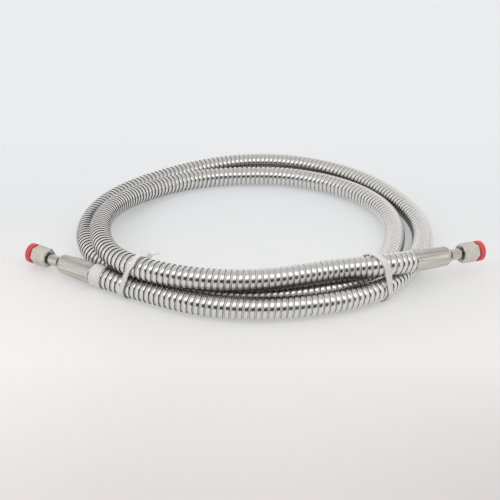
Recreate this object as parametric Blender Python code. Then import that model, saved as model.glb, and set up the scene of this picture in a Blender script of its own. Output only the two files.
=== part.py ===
"""Armoured stainless hose, coiled and tied, with a plugged swivel nut at each end.

Metres, +Z up. The floor is z = 0 and the origin lies on it, under the middle of the
whole object. The hose is one braided liner inside a loose stripwound armour. Each end
has a ferrule crimped over the braid, an insert with a cone head and an O-ring, a
loose union nut that turns on the insert's stem, and a push-in plug in the nut.
"""

import math

import bmesh
import bpy
import numpy as np
from mathutils import Matrix, Vector

# ---- Fits -------------------------------------------------------------------------------
GAP = 0.0003             # between pieces that touch
RUNNING_GAP = 0.0004     # between a piece that moves and what it moves on

# ---- Hose -------------------------------------------------------------------------------
HOSE_D = 0.021           # outside diameter of the armour
ARMOUR_WALL = 0.0015
BRAID_WALL = 0.0012
LINER_WALL = 0.0013
ARMOUR_SIDES = 12
BRAID_SIDES = 8
POINT_STEP = 1.57 * HOSE_D     # spacing of the points that the hose bends at
END_STRAIGHT = 0.95 * HOSE_D   # straight hose behind each ferrule

# The route: (angle in degrees, radius, height) about the middle of the coil, in hose
# diameters. It turns anticlockwise seen from above, with 270 at the front. The first
# station is the left ferrule's rear face and the last is the right one's.
COIL_CENTRE = (0.0222 * HOSE_D, 0.1000 * HOSE_D)
ROUTE = (
    (216.8, 8.962, 0.633),
    # first turn, the outer one, on the floor
    (228, 8.462, 0.586), (238, 8.267, 0.586), (252, 8.267, 0.586), (269, 8.314, 0.586),
    (285, 8.390, 0.586), (300, 8.581, 0.586), (313, 8.667, 0.586), (327, 8.486, 0.576),
    (344, 8.367, 0.567), (361, 8.205, 0.552), (385, 7.986, 0.533), (410, 8.076, 0.519),
    (435, 8.162, 0.510), (452, 8.062, 0.510), (467, 7.786, 0.514), (485, 7.576, 0.519),
    (500, 7.643, 0.529), (521, 7.971, 0.538), (541, 8.171, 0.552), (557, 8.214, 0.567),
    # second turn, which lies inside the first
    (569, 8.057, 0.571), (581, 7.590, 0.581), (593, 7.245, 0.581), (611, 7.228, 0.586),
    (630, 7.262, 0.586), (650, 7.386, 0.586), (664, 7.538, 0.586), (679, 7.457, 0.576),
    (697, 7.129, 0.567), (714, 6.948, 0.557), (734, 6.838, 0.543), (755, 6.624, 0.533),
    (775, 6.371, 0.524), (795, 6.205, 0.519), (812, 6.114, 0.519), (830, 6.243, 0.529),
    # the climb onto the turns below, and the top run across the front
    (845, 6.390, 0.581), (860, 6.505, 0.676), (876, 6.686, 0.857), (891, 6.943, 1.095),
    (906, 7.276, 1.329), (919, 7.638, 1.510), (931, 8.038, 1.595), (939, 8.262, 1.614),
    (947, 8.314, 1.614), (955, 8.200, 1.605), (965, 7.976, 1.567), (980, 7.714, 1.548),
    (996, 7.567, 1.576), (1010, 7.524, 1.595), (1019, 7.690, 1.586),
    (1040.29, 9.093, 1.533),
)

# ---- End fittings -----------------------------------------------------------------------
# Along a fitting's own axis, z = 0 is the ferrule's rear face and +z leaves the hose.
LEFT_AXIS = (147.0, 0.2)     # azimuth and upward tilt in degrees
RIGHT_AXIS = (27.5, -5.7)

FERRULE_LENGTH = 0.0438
FERRULE_REAR_D = HOSE_D
FERRULE_FRONT_D = 0.0190
FERRULE_COLLAR = 0.0060      # round, uncrimped length at the hose end
FERRULE_NOSE = 0.0055        # sloping shoulder at the stem end
FERRULE_NOSE_D = 0.0130
FERRULE_LIP = 0.0050         # thickness of the wall that closes on the insert
CRIMP_DEPTH = 0.0005
CRIMP_FLATS = 8
SPIGOT_LENGTH = 0.0120       # the part of the ferrule inside the armour
SPIGOT_WALL = 0.0008

STEM_D = 0.0106
STEM_SHOWN = 0.0133          # bare stem between the ferrule and the nut
BORE_D = 0.0045
TAIL_LENGTH = 0.031
TAIL_ROOT_D = 0.0062
BARB_COUNT = 5
COLLAR_D = 0.0136            # flange on the insert behind the ferrule's lip
COLLAR_LENGTH = 0.0028
HEAD_D = 0.0122              # large end of the sealing cone
HEAD_LAND = 0.0012
CONE_LENGTH = 0.0052
CONE_HALF_ANGLE = math.radians(12.0)
O_RING_SECTION_D = 0.0015

NUT_AF = 0.0170              # across flats
NUT_LENGTH = 0.0178
NUT_REAR_WALL = 0.0048
NUT_THREAD_D = 0.0128        # crest diameter of the inner thread
NUT_CHAMFER = math.radians(30.0)
NUT_FACE_D = 0.0158          # flat ring left by the chamfer on both ends
NUT_RECESS_D = 0.0146        # sunk ring round the stem, in the rear wall
NUT_RECESS_DEPTH = 0.0020
SWIVEL_GAP = 0.00035

PLUG_FLANGE_D = 0.0197
PLUG_FLANGE_LENGTH = 0.0057
PLUG_SPIGOT_LENGTH = 0.0042
PLUG_WALL = 0.0012
PLUG_EDGE = 0.0007

BAND_WIDTH = 0.0125
BAND_WALL = 0.0004
BAND_SETBACK = 0.0012        # from the ferrule to the band

# ---- Cable ties -------------------------------------------------------------------------
STRAP_WIDTH = 0.0050
STRAP_WALL = 0.0012
STRAP_SLACK = 0.0004         # between the strap and the hose
TIE_HEAD_LENGTH = 0.0095     # along the strap
TIE_HEAD_WIDTH = 0.0085
TIE_HEAD_HEIGHT = 0.0065
TIE_HEAD_EDGE = 0.0010
TIE_STUB_LENGTH = 0.0140
TIE_STUB_EDGE = 0.0003
TIE_SIDES = 48
# station angle on the first turn, turn of the strap's plane from square to the hose, how
# far the strap has slid along the top run in hose diameters, place of the head as a share
# of the way from the top run to the inner one, lift of the cut end
LEFT_TIE = {"angle": 228.5, "turn": 0.0, "slide": 0.333, "head_at": 0.15, "stub_lift": 32.0}
RIGHT_TIE = {"angle": 310.0, "turn": 8.0, "slide": -0.048, "head_at": 0.75, "stub_lift": 10.0}

TURNED_SIDES = 32
INNER_SIDES = 24


# ---- Scene and materials ----------------------------------------------------------------
def clear_scene():
    for old in list(bpy.data.objects):
        bpy.data.objects.remove(old, do_unlink=True)


def make_material(name, colour, roughness, metallic=0.0, transmission=0.0):
    """A Principled material with the piece's own colour and finish."""
    material = bpy.data.materials.new(name)
    material.use_nodes = True
    shader = material.node_tree.nodes["Principled BSDF"]
    shader.inputs["Base Color"].default_value = (*colour, 1.0)
    shader.inputs["Roughness"].default_value = roughness
    shader.inputs["Metallic"].default_value = metallic
    shader.inputs["Transmission Weight"].default_value = transmission
    material.diffuse_color = (*colour, 1.0)
    return material


def add_object(name, data, material=None, parent=None, matrix=Matrix()):
    """Link a new object, standing at matrix in its parent's space."""
    piece = bpy.data.objects.new(name, data)
    bpy.context.scene.collection.objects.link(piece)
    piece.parent = parent
    piece.matrix_basis = matrix
    if material is not None:
        data.materials.append(material)
    return piece


def smooth(mesh, angle=35.0):
    mesh.shade_smooth()
    mesh.set_sharp_from_angle(angle=math.radians(angle))


def hide_cutter(piece):
    piece.hide_render = True
    piece.display_type = "WIRE"


def add_boolean(piece, cutter, operation):
    step = piece.modifiers.new(operation.title(), "BOOLEAN")
    step.operation = operation
    step.solver = "EXACT"
    step.object = cutter
    hide_cutter(cutter)


# ---- Shapes -----------------------------------------------------------------------------
def turned_mesh(name, profile, sides=TURNED_SIDES):
    """Turn a closed outline of (radius, z) points about the z axis."""
    builder = bmesh.new()
    corners = [builder.verts.new((radius, 0.0, z)) for radius, z in profile]
    edges = [builder.edges.new(pair) for pair in zip(corners, corners[1:] + corners[:1])]
    bmesh.ops.spin(builder, geom=corners + edges, cent=(0, 0, 0), axis=(0, 0, 1),
                   angle=2.0 * math.pi, steps=sides, use_merge=True)
    bmesh.ops.remove_doubles(builder, verts=builder.verts, dist=1e-6)
    bmesh.ops.recalc_face_normals(builder, faces=builder.faces)
    mesh = bpy.data.meshes.new(name)
    builder.to_mesh(mesh)
    builder.free()
    smooth(mesh)
    return mesh


def prism_mesh(name, sides, radius, low, high):
    """An upright prism from z = low to z = high: corners on radius, a flat facing +y."""
    builder = bmesh.new()
    turn = Matrix.Rotation(math.pi / sides, 4, "Z")
    middle = Matrix.Translation((0, 0, (low + high) / 2.0)) @ turn
    bmesh.ops.create_cone(builder, cap_ends=True, segments=sides, radius1=radius,
                          radius2=radius, depth=high - low, matrix=middle)
    mesh = bpy.data.meshes.new(name)
    builder.to_mesh(mesh)
    builder.free()
    return mesh


def lofted_tube_mesh(name, rings):
    """Join rings of points into one closed tube wall, the last ring to the first."""
    builder = bmesh.new()
    loops = [[builder.verts.new(point) for point in ring] for ring in rings]
    for here, ahead in zip(loops, loops[1:] + loops[:1]):
        for k in range(len(here)):
            after = (k + 1) % len(here)
            builder.faces.new((here[k], here[after], ahead[after], ahead[k]))
    bmesh.ops.recalc_face_normals(builder, faces=builder.faces)
    mesh = bpy.data.meshes.new(name)
    builder.to_mesh(mesh)
    builder.free()
    return mesh


def bevelled_box_mesh(name, size, bevel):
    """A box about its own middle with rounded edges."""
    builder = bmesh.new()
    bmesh.ops.create_cube(builder, size=1.0, matrix=Matrix.Diagonal((*size, 1.0)))
    bmesh.ops.bevel(builder, geom=builder.edges, offset=bevel, segments=2,
                    profile=0.5, affect="EDGES")
    mesh = bpy.data.meshes.new(name)
    builder.to_mesh(mesh)
    builder.free()
    return mesh


# ---- The hose's route -------------------------------------------------------------------
def unit_axis(azimuth_and_tilt):
    azimuth, tilt = (math.radians(value) for value in azimuth_and_tilt)
    level = math.cos(tilt)
    return Vector((level * math.cos(azimuth), level * math.sin(azimuth), math.sin(tilt)))


def station_point(angle, radius, height):
    """A station of the route as a place in metres."""
    turn = math.radians(angle)
    return Vector((COIL_CENTRE[0] + radius * HOSE_D * math.cos(turn),
                   COIL_CENTRE[1] + radius * HOSE_D * math.sin(turn), height * HOSE_D))


def smooth_curve(knots, points, where):
    """Natural cubic spline through points at the given knots, read at where."""
    count = len(knots)
    step = np.diff(knots)
    slope = np.diff(points, axis=0) / step[:, None]
    system = np.eye(count)
    right = np.zeros_like(points)
    for k in range(1, count - 1):
        system[k, k - 1:k + 2] = step[k - 1], 2.0 * (step[k - 1] + step[k]), step[k]
        right[k] = 6.0 * (slope[k] - slope[k - 1])
    bend = np.linalg.solve(system, right)
    k = np.clip(np.searchsorted(knots, where) - 1, 0, count - 2)
    span = step[k][:, None]
    done = (where - knots[k])[:, None]
    left = span - done
    return ((bend[k] * left ** 3 + bend[k + 1] * done ** 3) / (6.0 * span)
            + (points[k] / span - bend[k] * span / 6.0) * left
            + (points[k + 1] / span - bend[k + 1] * span / 6.0) * done)


def hose_points():
    """Evenly spaced points along the hose, from the left ferrule to the right one."""
    stations = [station_point(*station) for station in ROUTE]
    left_lead = stations[0] - END_STRAIGHT * unit_axis(LEFT_AXIS)
    right_lead = stations[-1] - END_STRAIGHT * unit_axis(RIGHT_AXIS)
    path = np.array([stations[0], left_lead, *stations[1:-1], right_lead, stations[-1]])
    knots = np.concatenate(([0.0], np.cumsum(np.linalg.norm(np.diff(path, axis=0), axis=1))))
    fine = smooth_curve(knots, path, np.linspace(knots[1], knots[-2], 3000))
    length = np.concatenate(([0.0], np.cumsum(np.linalg.norm(np.diff(fine, axis=0), axis=1))))
    count = round(length[-1] / POINT_STEP) + 1
    even = np.linspace(0.0, length[-1], count)
    curved = np.column_stack([np.interp(even, length, fine[:, k]) for k in range(3)])
    return np.vstack((path[0], curved, path[-1]))


def add_tube(name, points, diameter, wall, sides, material):
    """A hollow round tube that bends at the given points."""
    curve = bpy.data.curves.new(name, "CURVE")
    curve.dimensions = "3D"
    curve.twist_mode = "Z_UP"
    curve.bevel_depth = diameter / 2.0
    curve.bevel_resolution = (sides - 4) // 2
    curve.use_fill_caps = False
    line = curve.splines.new("POLY")
    line.points.add(len(points) - 1)
    for knot, place in zip(line.points, points):
        knot.co = (*place, 1.0)
    tube = add_object(name, curve, material)
    shell = tube.modifiers.new("Wall", "SOLIDIFY")
    shell.thickness = wall
    shell.offset = -1.0
    shell.use_even_offset = True
    return tube


def inner_flat_radius(diameter, wall, sides):
    """Distance from a tube's middle to the flats of its bore."""
    return diameter / 2.0 * math.cos(math.pi / sides) - wall


def inner_corner_radius(diameter, wall, sides):
    return inner_flat_radius(diameter, wall, sides) / math.cos(math.pi / sides)


BRAID_D = 2.0 * (inner_flat_radius(HOSE_D, ARMOUR_WALL, ARMOUR_SIDES)
                 - 2.0 * GAP - SPIGOT_WALL)
LINER_D = 2.0 * (inner_corner_radius(BRAID_D, BRAID_WALL, BRAID_SIDES)
                 - GAP / math.cos(math.pi / BRAID_SIDES))
FERRULE_BORE_D = BRAID_D + 2.0 * GAP
TAIL_D = 2.0 * (inner_flat_radius(LINER_D, LINER_WALL, BRAID_SIDES) - GAP)
COLLAR_FRONT = FERRULE_LENGTH - FERRULE_LIP - GAP
INNER_HOSE_END = COLLAR_FRONT - COLLAR_LENGTH - GAP
NUT_REAR = FERRULE_LENGTH + STEM_SHOWN
NUT_BORE_D = STEM_D + 2.0 * RUNNING_GAP


def add_hose(points, materials):
    """Armour between the ferrules; braid and liner go on into both of them."""
    left_tip = Vector(points[0]) + INNER_HOSE_END * unit_axis(LEFT_AXIS)
    right_tip = Vector(points[-1]) + INNER_HOSE_END * unit_axis(RIGHT_AXIS)
    left_rear = Vector(points[0]) - GAP * unit_axis(LEFT_AXIS)
    right_rear = Vector(points[-1]) - GAP * unit_axis(RIGHT_AXIS)
    outside = np.vstack((left_rear, points[1:-1], right_rear))
    inside = np.vstack((left_tip, points[1:-1], right_tip))
    add_tube("armour", outside, HOSE_D, ARMOUR_WALL, ARMOUR_SIDES, materials["armour"])
    add_tube("braid", inside, BRAID_D, BRAID_WALL, BRAID_SIDES, materials["braid"])
    add_tube("liner", inside, LINER_D, LINER_WALL, BRAID_SIDES, materials["liner"])


# ---- End fittings -----------------------------------------------------------------------
def crimped_ring(z, radius, flat_radius, sides=TURNED_SIDES):
    """A round section pressed in to flat_radius by the jaws of the crimping die."""
    ring = []
    pitch = 2.0 * math.pi / CRIMP_FLATS
    for k in range(sides):
        turn = 2.0 * math.pi * k / sides
        off_flat = (turn % pitch) - pitch / 2.0
        reach = min(radius, flat_radius / math.cos(off_flat))
        ring.append((reach * math.cos(turn), reach * math.sin(turn), z))
    return ring


def ferrule_mesh(name):
    """The sleeve: spigot in the armour, round collar, crimped body and closed nose."""
    bore = FERRULE_BORE_D / 2.0
    lip_bore = STEM_D / 2.0 + GAP
    spigot = bore + SPIGOT_WALL
    rear = FERRULE_REAR_D / 2.0
    front = FERRULE_FRONT_D / 2.0
    edge = 0.0006
    crimp_start = FERRULE_COLLAR + 0.0015
    crimp_end = FERRULE_LENGTH - FERRULE_NOSE - 0.0015
    nose_start = FERRULE_LENGTH - FERRULE_NOSE

    def round_ring(z, radius):
        return crimped_ring(z, radius, radius)

    rings = [
        round_ring(-SPIGOT_LENGTH, bore),
        round_ring(-SPIGOT_LENGTH, spigot),
        round_ring(0.0, spigot),
        round_ring(0.0, rear - edge),
        round_ring(edge, rear),
        round_ring(FERRULE_COLLAR, rear),
        crimped_ring(crimp_start, rear, rear - CRIMP_DEPTH),
        crimped_ring(crimp_end, front, front - CRIMP_DEPTH),
        round_ring(nose_start, front),
        round_ring(FERRULE_LENGTH - edge, FERRULE_NOSE_D / 2.0),
        round_ring(FERRULE_LENGTH, FERRULE_NOSE_D / 2.0 - edge),
        round_ring(FERRULE_LENGTH, lip_bore),
        round_ring(FERRULE_LENGTH - FERRULE_LIP, lip_bore),
        round_ring(FERRULE_LENGTH - FERRULE_LIP, bore),
    ]
    mesh = lofted_tube_mesh(name, rings)
    smooth(mesh, 25.0)
    return mesh


def insert_profile():
    """Outline of the insert, from the hose end of its tail to the nose of its cone."""
    bore = BORE_D / 2.0
    stem = STEM_D / 2.0
    root = TAIL_ROOT_D / 2.0
    barb = TAIL_D / 2.0
    collar_rear = COLLAR_FRONT - COLLAR_LENGTH
    tail_start = collar_rear - TAIL_LENGTH
    pitch = TAIL_LENGTH / (BARB_COUNT + 1)
    outline = [(bore, tail_start), (root, tail_start)]
    for k in range(1, BARB_COUNT + 1):
        outline += [(barb, tail_start + k * pitch), (root, tail_start + k * pitch)]
    outline += [(root, collar_rear), (COLLAR_D / 2.0, collar_rear), (COLLAR_D / 2.0, COLLAR_FRONT),
                (stem, COLLAR_FRONT)]
    shoulder = NUT_REAR + NUT_REAR_WALL + SWIVEL_GAP
    head = HEAD_D / 2.0
    head_rear = shoulder + head - stem
    cone_start = head_rear + HEAD_LAND
    outline += [(stem, shoulder), (head, head_rear), (head, cone_start)]
    groove_low = cone_start + 0.35 * CONE_LENGTH
    groove_high = groove_low + O_RING_SECTION_D + 2.0 * GAP
    groove = o_ring_path_radius() - O_RING_SECTION_D / 2.0 - GAP
    outline += [(cone_radius(groove_low), groove_low), (groove, groove_low),
                (groove, groove_high), (cone_radius(groove_high), groove_high)]
    tip = cone_start + CONE_LENGTH
    outline += [(cone_radius(tip), tip), (bore, tip)]
    return outline


def cone_start_z():
    return NUT_REAR + NUT_REAR_WALL + SWIVEL_GAP + (HEAD_D - STEM_D) / 2.0 + HEAD_LAND


def cone_radius(z):
    return HEAD_D / 2.0 - (z - cone_start_z()) * math.tan(CONE_HALF_ANGLE)


def o_ring_z():
    return cone_start_z() + 0.35 * CONE_LENGTH + GAP + O_RING_SECTION_D / 2.0


def o_ring_path_radius():
    """The ring stands a little proud of the cone, so that it seals first."""
    return cone_radius(o_ring_z()) - O_RING_SECTION_D / 2.0 + 0.00025


def o_ring_profile():
    section = 10
    radius = O_RING_SECTION_D / 2.0
    return [(o_ring_path_radius() + radius * math.cos(2.0 * math.pi * k / section),
             o_ring_z() + radius * math.sin(2.0 * math.pi * k / section))
            for k in range(section)]


def chamfer_drop(corner):
    """How far down the chamfer cone falls from the face ring to a corner radius."""
    return (corner - NUT_FACE_D / 2.0) * math.tan(NUT_CHAMFER)


def add_nut(name, parent, material):
    """A union nut: chamfered hexagon, sunk stem hole, seat for the head, threaded mouth."""
    corner = NUT_AF / 2.0 / math.cos(math.pi / 6.0)
    reach = corner * 1.1
    margin = chamfer_drop(reach)
    place = Matrix.Translation((0, 0, NUT_REAR))
    nut = add_object(name, prism_mesh(name, 6, corner, 0.0, NUT_LENGTH), material, parent, place)
    face = NUT_FACE_D / 2.0
    blank = turned_mesh(name + "_blank", [
        (0.0, 0.0), (face, 0.0), (reach, margin), (reach, NUT_LENGTH - margin),
        (face, NUT_LENGTH), (0.0, NUT_LENGTH)], 48)
    bore = NUT_BORE_D / 2.0
    thread = NUT_THREAD_D / 2.0
    recess = NUT_RECESS_D / 2.0
    mouth_lead = 0.0006
    past = 0.002
    hole = turned_mesh(name + "_hole", [
        (0.0, -past), (recess, -past), (recess, NUT_RECESS_DEPTH),
        (bore, NUT_RECESS_DEPTH), (bore, NUT_REAR_WALL),
        (thread, NUT_REAR_WALL + thread - bore), (thread, NUT_LENGTH - mouth_lead),
        (thread + mouth_lead + past, NUT_LENGTH + past), (0.0, NUT_LENGTH + past)])
    add_boolean(nut, add_object(name + "_blank", blank, None, parent, place), "INTERSECT")
    add_boolean(nut, add_object(name + "_hole", hole, None, parent, place), "DIFFERENCE")
    return nut


def plug_profile():
    """A hollow spigot in the nut's mouth under a thick flange."""
    flange = PLUG_FLANGE_D / 2.0
    spigot = NUT_THREAD_D / 2.0 - RUNNING_GAP
    inside = spigot - PLUG_WALL
    return [(0.0, 0.0), (inside, 0.0), (inside, -PLUG_SPIGOT_LENGTH),
            (spigot - 0.0004, -PLUG_SPIGOT_LENGTH), (spigot, 0.0004 - PLUG_SPIGOT_LENGTH),
            (spigot, 0.0), (flange - PLUG_EDGE, 0.0), (flange, PLUG_EDGE),
            (flange, PLUG_FLANGE_LENGTH - PLUG_EDGE), (flange - PLUG_EDGE, PLUG_FLANGE_LENGTH),
            (0.0, PLUG_FLANGE_LENGTH)]


def add_fitting(side, end_point, axis, materials):
    """All the pieces of one hose end, standing on an empty at the ferrule's rear face."""
    turn = axis.to_track_quat("Z", "Y").to_matrix().to_4x4()
    stand = add_object(side + "_end", None, matrix=Matrix.Translation(end_point) @ turn)
    add_object(side + "_ferrule", ferrule_mesh(side + "_ferrule"), materials["ferrule"], stand)
    insert = turned_mesh(side + "_insert", insert_profile(), INNER_SIDES)
    add_object(side + "_insert", insert, materials["insert"], stand)
    ring = turned_mesh(side + "_o_ring", o_ring_profile(), INNER_SIDES)
    add_object(side + "_o_ring", ring, materials["o_ring"], stand)
    add_nut(side + "_nut", stand, materials["nut"])
    plug_place = Matrix.Translation((0, 0, NUT_REAR + NUT_LENGTH + GAP))
    plug = turned_mesh(side + "_plug", plug_profile())
    add_object(side + "_plug", plug, materials["plug"], stand, plug_place)
    return stand


def add_label_band(stand, material):
    """A plain band wrapped round the armour just behind the left ferrule."""
    inner = HOSE_D / 2.0 + GAP
    outer = inner + BAND_WALL
    front = -BAND_SETBACK
    rear = front - BAND_WIDTH
    profile = [(inner, rear), (outer, rear), (outer, front), (inner, front)]
    add_object("label_band", turned_mesh("label_band", profile), material, stand)


# ---- Cable ties -------------------------------------------------------------------------
def tie_frame(points, tie):
    """The plane of a strap: x outward from the coil, y up, z back along the hose."""
    turns = np.unwrap(np.arctan2(points[:, 1] - COIL_CENTRE[1], points[:, 0] - COIL_CENTRE[0]))
    turns += math.radians(ROUTE[0][0]) - turns[0]
    wanted = math.radians(tie["angle"])
    k = int(np.searchsorted(turns, wanted)) - 1
    share = (wanted - turns[k]) / (turns[k + 1] - turns[k])
    place = Vector(points[k]).lerp(Vector(points[k + 1]), share)
    along = Vector(points[k + 1] - points[k])
    along.z = 0.0
    along = Matrix.Rotation(math.radians(tie["turn"]), 3, "Z") @ along.normalized()
    up = Vector((0, 0, 1))
    outward = along.cross(up)
    frame = Matrix((outward, up, outward.cross(up))).transposed().to_4x4()
    frame.translation = place
    return frame


def run_sections(points, frame):
    """Where the hose passes through the strap's plane: middle and direction of each run."""
    inverse = frame.inverted()
    local = [inverse @ Vector(point) for point in points]
    sections = []
    for here, ahead in zip(local, local[1:]):
        if here.z * ahead.z > 0.0:
            continue
        cut = here.lerp(ahead, here.z / (here.z - ahead.z))
        if cut.length < 3.0 * HOSE_D:
            sections.append((cut, (ahead - here).normalized()))
    return sections


def section_reach(section, radius, direction):
    """Furthest point, in a direction, of a round run cut by the strap's plane."""
    cut, run = section
    long_way = Vector((run.x, run.y, 0.0)).normalized()
    short_way = Vector((-long_way.y, long_way.x, 0.0))
    stretch = radius / abs(run.z)
    long_part = stretch * direction.dot(long_way)
    short_part = radius * direction.dot(short_way)
    size = math.hypot(long_part, short_part)
    return cut + (stretch * long_part * long_way + radius * short_part * short_way) / size


def slide_along(point, run, sections, slide):
    """How far the strap has slid along a run: not at all low down, most at the top."""
    top = max(section[0].y for section in sections)
    share = min(max(point.y / top, 0.0), 1.3)
    return run * (slide * HOSE_D * share ** 2 / abs(run.z))


def strap_mesh(name, sections, slide):
    """A band pulled tight round the runs; where it crosses a run it lies flat on it."""
    radius = HOSE_D / 2.0 + STRAP_SLACK
    rings = [[], [], [], []]
    for k in range(TIE_SIDES):
        turn = 2.0 * math.pi * (k + 0.5) / TIE_SIDES
        direction = Vector((math.cos(turn), math.sin(turn), 0.0))
        section = max(sections, key=lambda run: direction.dot(section_reach(run, radius, direction)))
        run = section[1]
        inside = section_reach(section, radius, direction)
        inside = inside + slide_along(inside, run, sections, slide)
        outside = inside + STRAP_WALL * direction
        side = run * STRAP_WIDTH / 2.0 / abs(run.z)
        corners = (inside - side, outside - side, outside + side, inside + side)
        for ring, corner in zip(rings, corners):
            ring.append(corner)
    mesh = lofted_tube_mesh(name, rings)
    smooth(mesh, 30.0)
    return mesh


def head_frame(sections, head_at, slide):
    """Foot of the head on the strap's inner slope: x down the slope, y out, z across."""
    top, top_run = max(sections, key=lambda section: section[0].y)
    low, low_run = min(sections, key=lambda section: section[0].x)
    slope = (low - top).normalized()
    run = top_run.lerp(low_run, head_at).normalized()
    away = run.cross(slope).normalized()
    frame = Matrix((slope, away, slope.cross(away))).transposed().to_4x4()
    radius = HOSE_D / 2.0 + STRAP_SLACK
    foot = top.lerp(low, head_at) + (radius + 0.4 * STRAP_WALL) * away
    frame.translation = foot + slide_along(foot, run, sections, slide)
    return frame


def add_tie(name, points, tie, material):
    """Strap loop, head block and cut end, moulded in one piece."""
    frame = tie_frame(points, tie)
    sections = run_sections(points, frame)
    strap = add_object(name, strap_mesh(name, sections, tie["slide"]), material, None, frame)

    head_size = (TIE_HEAD_LENGTH, TIE_HEAD_HEIGHT, TIE_HEAD_WIDTH)
    head_middle = Matrix.Translation((0.0, TIE_HEAD_HEIGHT / 2.0, 0.0))
    head_place = frame @ head_frame(sections, tie["head_at"], tie["slide"]) @ head_middle
    head_mesh = bevelled_box_mesh(name + "_head", head_size, TIE_HEAD_EDGE)
    add_boolean(strap, add_object(name + "_head", head_mesh, None, None, head_place), "UNION")

    stub_size = (TIE_STUB_LENGTH + TIE_HEAD_LENGTH / 2.0, STRAP_WALL, STRAP_WIDTH)
    stub_turn = Matrix.Rotation(math.radians(tie["stub_lift"]), 4, "Z")
    stub_place = head_place @ stub_turn @ Matrix.Translation((stub_size[0] / 2.0, 0.0, 0.0))
    stub_mesh = bevelled_box_mesh(name + "_stub", stub_size, TIE_STUB_EDGE)
    add_boolean(strap, add_object(name + "_stub", stub_mesh, None, None, stub_place), "UNION")
    return strap


# ---- Assembly ---------------------------------------------------------------------------
def make_materials():
    steel = (0.62, 0.61, 0.59)
    return {
        "armour": make_material("armour_steel", (0.66, 0.66, 0.66), 0.22, 1.0),
        "braid": make_material("braid_steel", steel, 0.35, 1.0),
        "liner": make_material("liner_white", (0.85, 0.84, 0.80), 0.45),
        "ferrule": make_material("ferrule_steel", steel, 0.32, 1.0),
        "insert": make_material("insert_steel", steel, 0.28, 1.0),
        "o_ring": make_material("o_ring_rubber", (0.02, 0.02, 0.02), 0.6),
        "nut": make_material("nut_steel", steel, 0.30, 1.0),
        "plug": make_material("plug_red", (0.80, 0.07, 0.08), 0.35),
        "band": make_material("band_white", (0.86, 0.86, 0.85), 0.5),
        "tie": make_material("tie_nylon", (0.83, 0.82, 0.78), 0.4, transmission=0.2),
    }


def main():
    clear_scene()
    materials = make_materials()
    points = hose_points()
    add_hose(points, materials)
    left = add_fitting("left", Vector(points[0]), unit_axis(LEFT_AXIS), materials)
    add_fitting("right", Vector(points[-1]), unit_axis(RIGHT_AXIS), materials)
    add_label_band(left, materials["band"])
    add_tie("left_cable_tie", points, LEFT_TIE, materials["tie"])
    add_tie("right_cable_tie", points, RIGHT_TIE, materials["tie"])
    bpy.context.view_layer.update()


main()
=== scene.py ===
"""Looks of a coiled armoured hose: stripwound steel, crimped ends, swivel nuts, plugs and ties.

Metres throughout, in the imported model's frame: the floor is z = 0.
"""

import math

import bpy
import numpy as np
from bpy.props import FloatProperty, FloatVectorProperty, IntProperty, PointerProperty
from mathutils import Matrix, Vector


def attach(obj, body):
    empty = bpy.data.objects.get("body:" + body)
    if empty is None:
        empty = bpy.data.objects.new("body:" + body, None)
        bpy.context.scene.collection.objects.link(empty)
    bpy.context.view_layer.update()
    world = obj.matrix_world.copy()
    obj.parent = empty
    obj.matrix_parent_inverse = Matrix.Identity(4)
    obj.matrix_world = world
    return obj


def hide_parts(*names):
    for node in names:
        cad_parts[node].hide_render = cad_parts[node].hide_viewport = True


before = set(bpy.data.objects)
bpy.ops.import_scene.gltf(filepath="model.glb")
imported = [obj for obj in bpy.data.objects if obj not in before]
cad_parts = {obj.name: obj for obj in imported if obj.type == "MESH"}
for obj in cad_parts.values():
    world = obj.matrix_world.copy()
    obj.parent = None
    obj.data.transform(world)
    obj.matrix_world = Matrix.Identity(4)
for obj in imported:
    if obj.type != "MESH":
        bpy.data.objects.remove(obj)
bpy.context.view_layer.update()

bl_info = {
    "name": "Coiled armoured hose",
    "version": (1, 0, 0),
    "blender": (4, 5, 0),
    "location": "View3D > Sidebar > Hose",
    "description": "Builds the surfaces and finishes of a coiled armoured hose",
    "category": "Add Mesh",
}

# ---- The hose's route, as in the solid model ---------------------------------------------
HOSE_D = 0.021
HOSE_RADIUS = HOSE_D / 2.0
COIL_CENTRE = (0.0222 * HOSE_D, 0.1000 * HOSE_D)
END_STRAIGHT = 0.95 * HOSE_D
LEFT_AXIS = (147.0, 0.2)     # azimuth and upward tilt in degrees
RIGHT_AXIS = (27.5, -5.7)
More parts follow.
